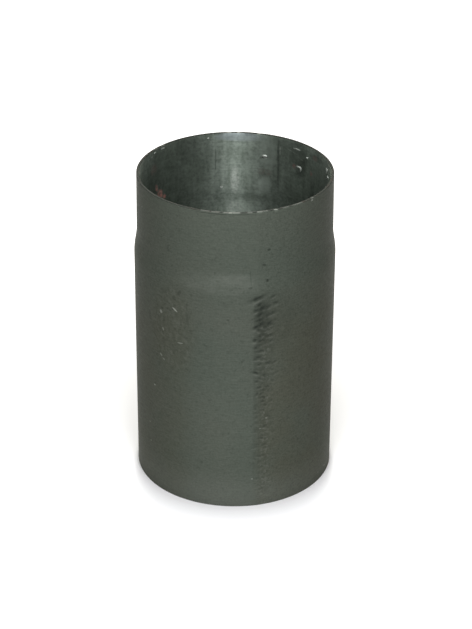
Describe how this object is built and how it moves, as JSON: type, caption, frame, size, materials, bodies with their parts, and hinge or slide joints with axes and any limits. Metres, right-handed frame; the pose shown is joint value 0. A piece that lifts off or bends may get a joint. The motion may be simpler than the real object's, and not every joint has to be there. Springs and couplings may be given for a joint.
{
  "type": "chimney flue pipe",
  "caption": "Short rolled and welded steel flue pipe with a plain lower end and a swaged upper neck that slides into the next pipe of a stove's chimney.",
  "frame": {"origin": "centre of the plain end's face, at the lowest point of the pipe", "axes": "+Z along the pipe's axis, towards the swaged neck; the weld seam stands 13.5 degrees to the +X side of -Y"},
  "size_m": [0.154, 0.154, 0.25],
  "materials": {
    "painted_steel": "satin grey-green heat-resistant paint outside, bare dark steel inside and a worn bright rim"
  },
  "bodies": {
    "root": {"flue_pipe": "painted_steel"}
  },
  "joints": []
}
